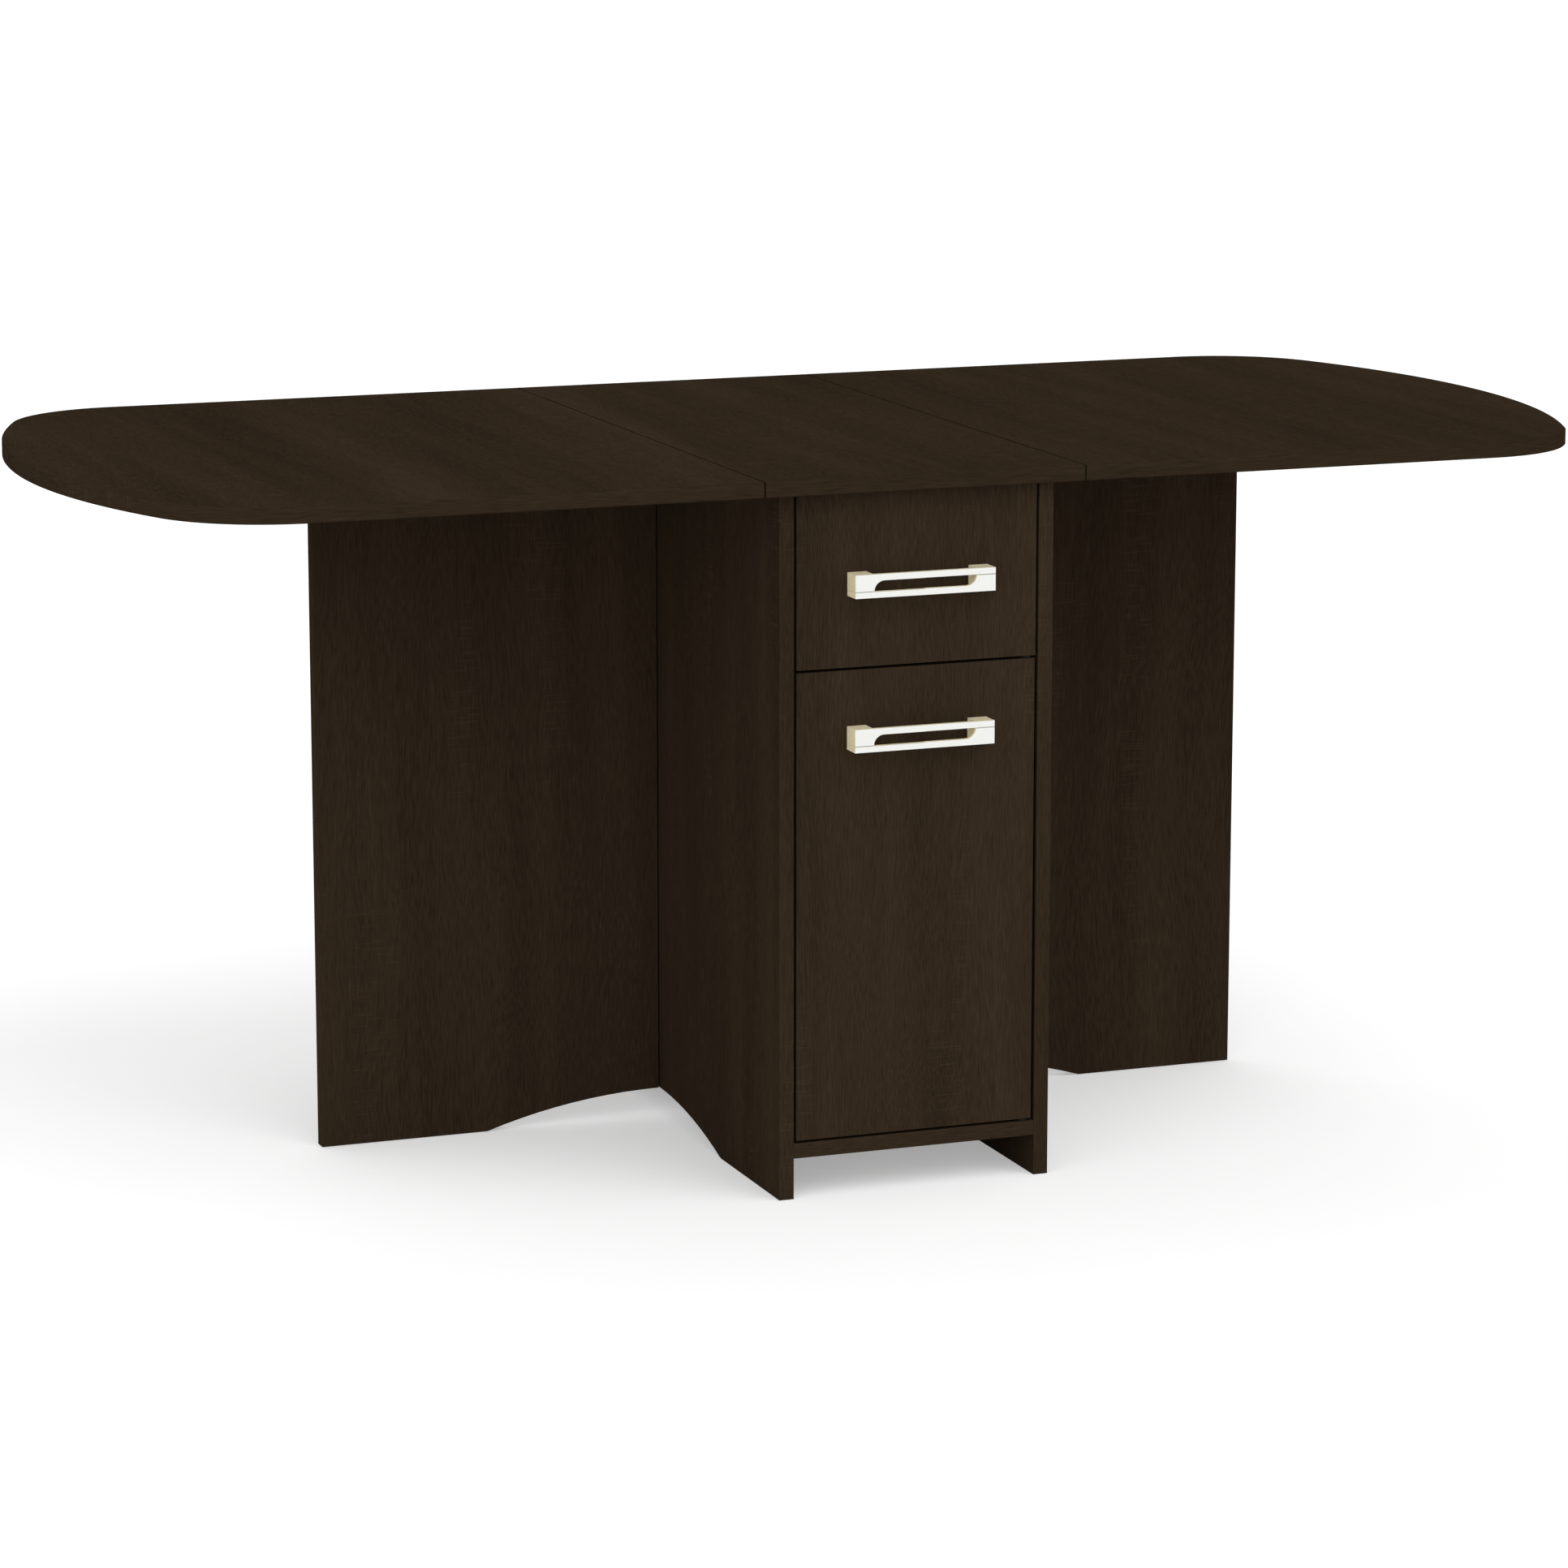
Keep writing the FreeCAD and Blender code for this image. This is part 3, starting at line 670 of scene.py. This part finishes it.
def floor_paint(colour, glow):
    """Matt pale paint that looks nearly white away from the table's shadow."""
    material, tree, shader = new_material("floor_paint")
    mottle = even_noise(tree, object_place(tree), repeats=3.0, detail=2.0)
    painted = two_tints(tree, mottle, colour, low=0.985, high=1.0)
    tree.links.new(painted, shader.inputs["Base Color"])
    shader.inputs["Roughness"].default_value = FLOOR_ROUGHNESS
    shader.inputs["Specular IOR Level"].default_value = 0.0
    shader.inputs["Emission Color"].default_value = WHITE
    seen_glow = calculate(tree, "MULTIPLY", seen_directly(tree), glow)
    tree.links.new(seen_glow, shader.inputs["Emission Strength"])
    return material


def add_lamp(name, place, spread, power):
    """A broad even lamp that shines from a place towards the middle of the floor."""
    deselect_all()
    aim = (-Vector(place)).to_track_quat("-Z", "Y").to_euler()
    bpy.ops.object.light_add(type="SUN", location=place, rotation=aim)
    lamp = bpy.context.object
    lamp.name = name
    lamp.data.angle = math.radians(spread)
    lamp.data.energy = power


def set_world(wall_fill, ceiling_fill):
    """White all round for the eye, and a light on things that falls off from the walls to the ceiling."""
    world = bpy.data.worlds.new("studio")
    bpy.context.scene.world = world
    world.use_nodes = True
    tree = world.node_tree
    background = tree.nodes["Background"]
    background.inputs["Color"].default_value = WHITE
    direction = add_node(tree, "ShaderNodeTexCoord").outputs["Generated"]
    fill = limits(tree, apart(tree, direction)["Z"], (0.0, 1.0), (wall_fill, ceiling_fill))
    strength = limits(tree, seen_directly(tree), (0.0, 1.0), (fill, 1.0))
    tree.links.new(strength, background.inputs["Strength"])


def set_camera(stage):
    bpy.ops.object.camera_add(location=stage.eye, rotation=(math.pi / 2.0 - stage.tilt, 0.0, -stage.turn))
    camera = bpy.context.object
    camera.name = "photo_camera"
    camera.data.lens = stage.lens
    camera.data.sensor_width = FILM_WIDTH
    camera.data.clip_end = SIGHT
    bpy.context.scene.camera = camera


# Operators

class TABLE_OT_dress_top(bpy.types.Operator):
    """Laminate on the middle panel and the leaves, and the bands round them"""
    bl_idname = "table.dress_top"
    bl_label = "Dress the top"

    def execute(self, context):
        laminate = context.scene.table_finish.laminate
        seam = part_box("top_centre_panel")[1].x + SEAM_OFFSET
        dress(TOP_BOARDS, sawn_oak(laminate, "laminate_grain_deep", "deep", seam=seam))
        # The bands get painted shade: their laminate tones are taken down by this share
        dress(TOP_BANDS, sawn_oak(laminate, "laminate_band", "band", depth=laminate.band_painted_shade, seam=seam))
        return {"FINISHED"}


class TABLE_OT_dress_boards(bpy.types.Operator):
    """Laminate on the cabinet, the gates and the fronts, with eased edges"""
    bl_idname = "table.dress_boards"
    bl_label = "Dress the boards"

    def execute(self, context):
        laminate = context.scene.table_finish.laminate
        dress(UPRIGHT_BOARDS + GATE_BOARDS + FRONT_BOARDS,
              sawn_oak(laminate, "laminate_grain_upright", "upright"))
        dress(LEVEL_BOARDS, sawn_oak(laminate, "laminate_grain_wide", "wide"))
        ease_edges(UPRIGHT_BOARDS + GATE_BOARDS + LEVEL_BOARDS + ("drawer_front",), laminate.arris)
        return {"FINISHED"}


class TABLE_OT_dress_drawer(bpy.types.Operator):
    """Laminate on the drawer's box, and hardboard for its bottom"""
    bl_idname = "table.dress_drawer"
    bl_label = "Dress the drawer box"

    def execute(self, context):
        finish = context.scene.table_finish
        dress(DRAWER_SIDES, sawn_oak(finish.laminate, "laminate_drawer_sides", "deep"))
        dress(("drawer_back",), sawn_oak(finish.laminate, "laminate_drawer_back", "wide"))
        dress(("drawer_bottom",), hardboard(finish.fitting.hardboard))
        return {"FINISHED"}


class TABLE_OT_dress_pulls(bpy.types.Operator):
    """White and beige pulls with fine eased edges"""
    bl_idname = "table.dress_pulls"
    bl_label = "Dress the pulls"

    def execute(self, context):
        handle = context.scene.table_finish.handle
        for pull in ("drawer", "door"):
            halves = (pull + "_handle_upper", pull + "_handle_lower")
            upper_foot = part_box(halves[0])[0]
            lower_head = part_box(halves[1])[1]
            dress(halves, pull_finish(handle, pull + "_pull_finish", front=upper_foot.y,
                                      left_joint=upper_foot.z, right_joint=lower_head.z))
            ease_edges(halves, handle.arris)
        return {"FINISHED"}


class TABLE_OT_dress_fittings(bpy.types.Operator):
    """Steel, plastic, nylon and ferrite on the hinges and the small fittings"""
    bl_idname = "table.dress_fittings"
    bl_label = "Dress the fittings"

    def execute(self, context):
        fitting = context.scene.table_finish.fitting
        dress(STEEL_NODES, zinc_plate(fitting.steel))
        dress(BLACKENED_NODES, moulded("blackened_steel", fitting.blackened,
                                       fineness=1400.0, roughness=0.7, gloss=0.02))
        dress(BROWN_NODES, moulded("brown_moulding", fitting.plastic,
                                   fineness=900.0, roughness=0.55, gloss=0.15))
        dress(NYLON_NODES, moulded("pale_nylon", fitting.nylon, fineness=1200.0, roughness=0.42))
        dress(("catch_magnet",), moulded("ferrite", fitting.ferrite, fineness=1500.0, roughness=0.6))
        return {"FINISHED"}


class TABLE_OT_add_leaf_hinge_screws(bpy.types.Operator):
    """Low-headed screws in the hinge plates under the seams of the top"""
    bl_idname = "table.add_leaf_hinge_screws"
    bl_label = "Add leaf hinge screws"

    def execute(self, context):
        head = hinge_screw_head(context.scene.table_finish.fitting)
        fixed_edge = min(abs(point.x) for point in node_points("leaf_hinge_fixed_plates"))
        leaf_edge = node_box("right_leaf_hinge_plates")[1].x
        under = node_box("right_leaf_hinge_plates")[1].z - HINGE_SHEET
        middles = pair_middles("right_leaf_hinge_plates", "y")
        spots = [((side * (fixed_edge + inset), y + step, under), DOWN)
                 for side in SIDES.values() for y in middles for inset, step in LEAF_FIXED_SCREWS]
        drive_screws(head, "leaf_hinge_fixed_screws", "cabinet", spots)
        for name, side in SIDES.items():
            spots = [((side * (leaf_edge - inset), y + step, under), DOWN)
                     for y in middles for inset, step in LEAF_SCREWS]
            drive_screws(head, name + "_leaf_hinge_screws", name + "_leaf_flap", spots)
        discard(head)
        return {"FINISHED"}


class TABLE_OT_add_gate_hinge_screws(bpy.types.Operator):
    """Low-headed screws in the hinge plates behind the gates"""
    bl_idname = "table.add_gate_hinge_screws"
    bl_label = "Add gate hinge screws"

    def execute(self, context):
        head = hinge_screw_head(context.scene.table_finish.fitting)
        fixed_face = node_box("right_side_panel")[1].x + HINGE_SHEET
        fixed_edge = node_box("gate_hinge_fixed_plates")[1].y
        gate_face = node_box("right_gate_panel")[1].y + HINGE_SHEET
        gate_edge = node_box("right_gate_hinge_plates")[1].x
        middles = pair_middles("right_gate_hinge_plates", "z")
        spots = [((side * fixed_face, fixed_edge - inset, z + step), (side, 0, 0))
                 for side in SIDES.values() for z in middles for inset, step in GATE_SCREWS]
        drive_screws(head, "gate_hinge_fixed_screws", "cabinet", spots)
        for name, side in SIDES.items():
            spots = [((side * (gate_edge - inset), gate_face, z + step), REAR)
                     for z in middles for inset, step in GATE_SCREWS]
            drive_screws(head, name + "_gate_hinge_screws", name + "_gate", spots)
        discard(head)
        return {"FINISHED"}


class TABLE_OT_add_fitting_screws(bpy.types.Operator):
    """Screws in the shelf supports, the door's pivots and its catch"""
    bl_idname = "table.add_fitting_screws"
    bl_label = "Add fitting screws"

    def execute(self, context):
        fitting = context.scene.table_finish.fitting
        head = screw_head(FITTING_SCREW_SHARE * fitting.screw_radius, FITTING_SCREW_HEIGHT,
                          FITTING_SCREW_CROWN, RECESS_DEPTH_SHARE * FITTING_SCREW_HEIGHT)
        low, high = node_box("shelf_supports")
        spots = [((side * (high.x - SUPPORT_SHEET), y, low.z + SUPPORT_SCREW_RISE), (-side, 0, 0))
                 for side in SIDES.values() for y in pair_middles("shelf_supports", "y")]
        lower = node_box("door_lower_pivot")
        upper = node_box("door_upper_pivot")
        for (near, far), plate_top in ((lower, lower[0].z + PIVOT_SHEET), (upper, upper[1].z)):
            spots += [(((near.x + far.x) / 2.0, far.y - inset, plate_top), UP)
                      for inset in PIVOT_SCREW_INSETS]
        near, far = node_box("catch_housing")
        spots += [((x, (near.y + far.y) / 2.0, near.z), DOWN)
                  for x in (near.x + CATCH_SCREW_INSET, far.x - CATCH_SCREW_INSET)]
        drive_screws(head, "cabinet_fitting_screws", "cabinet", spots)
        discard(head)
        return {"FINISHED"}


class TABLE_OT_add_pull_screws(bpy.types.Operator):
    """Pan-head screws through the drawer front and the door into the pulls"""
    bl_idname = "table.add_pull_screws"
    bl_label = "Add pull screws"

    def execute(self, context):
        handle = context.scene.table_finish.handle
        head = screw_head(handle.screw_radius, handle.screw_height, PULL_SCREW_CROWN, PULL_SCREW_RECESS)
        for body, board in (("drawer", "drawer_front"), ("door", "door_panel")):
            foot = node_box(body + "_handle_lower")[0]
            high = node_box(body + "_handle_upper")[1]
            inner = node_box(board)[1].y
            spots = [((side * (high.x - PULL_SCREW_INSET), inner, (foot.z + high.z) / 2.0), REAR)
                     for side in SIDES.values()]
            drive_screws(head, body + "_pull_screws", body, spots)
        discard(head)
        return {"FINISHED"}


class TABLE_OT_set_stage(bpy.types.Operator):
    """Pale floor, soft lamps and the camera"""
    bl_idname = "table.set_stage"
    bl_label = "Set the stage"

    def execute(self, context):
        stage = context.scene.table_finish.stage
        deselect_all()
        bpy.ops.mesh.primitive_plane_add(size=FLOOR_SIDE, location=(0.0, 0.0, 0.0))
        floor = context.object
        floor.name = "floor"
        floor.data.materials.append(floor_paint(stage.floor, stage.floor_glow))
        for name, (place, spread) in LAMPS.items():
            add_lamp(name + "_lamp", place, spread, getattr(stage, name + "_power"))
        set_world(stage.wall_fill, stage.ceiling_fill)
        set_camera(stage)
        context.scene.view_settings.view_transform = "Standard"
        return {"FINISHED"}


class TABLE_PT_finish(bpy.types.Panel):
    """Settings of the finish, and the steps that make it"""
    bl_idname = "TABLE_PT_finish"
    bl_label = "Drop-leaf table"
    bl_space_type = "VIEW_3D"
    bl_region_type = "UI"
    bl_category = "Table"

    def draw(self, context):
        finish = context.scene.table_finish
        for title, group in (("Laminate", finish.laminate), ("Pulls", finish.handle),
                             ("Fittings", finish.fitting), ("Stage", finish.stage)):
            box = self.layout.box()
            box.label(text=title)
            for key in group.__annotations__:
                box.prop(group, key)
        for operator in OPERATORS:
            self.layout.operator(operator.bl_idname)


OPERATORS = (TABLE_OT_dress_top, TABLE_OT_dress_boards, TABLE_OT_dress_drawer, TABLE_OT_dress_pulls,
             TABLE_OT_dress_fittings, TABLE_OT_add_leaf_hinge_screws, TABLE_OT_add_gate_hinge_screws,
             TABLE_OT_add_fitting_screws, TABLE_OT_add_pull_screws, TABLE_OT_set_stage)
CLASSES = (LaminateSettings, HandleSettings, FittingSettings, StageSettings, TableFinish) + OPERATORS + (
    TABLE_PT_finish,)


def register():
    for item in CLASSES:
        bpy.utils.register_class(item)
    bpy.types.Scene.table_finish = bpy.props.PointerProperty(type=TableFinish)


def unregister():
    del bpy.types.Scene.table_finish
    for item in reversed(CLASSES):
        bpy.utils.unregister_class(item)


def main():
    register()
    bpy.ops.table.dress_top()
    bpy.ops.table.dress_boards()
    bpy.ops.table.dress_drawer()
    bpy.ops.table.dress_pulls()
    bpy.ops.table.dress_fittings()
    bpy.ops.table.add_leaf_hinge_screws()
    bpy.ops.table.add_gate_hinge_screws()
    bpy.ops.table.add_fitting_screws()
    bpy.ops.table.add_pull_screws()
    bpy.ops.table.set_stage()
    deselect_all()


if __name__ == "__main__":
    main()
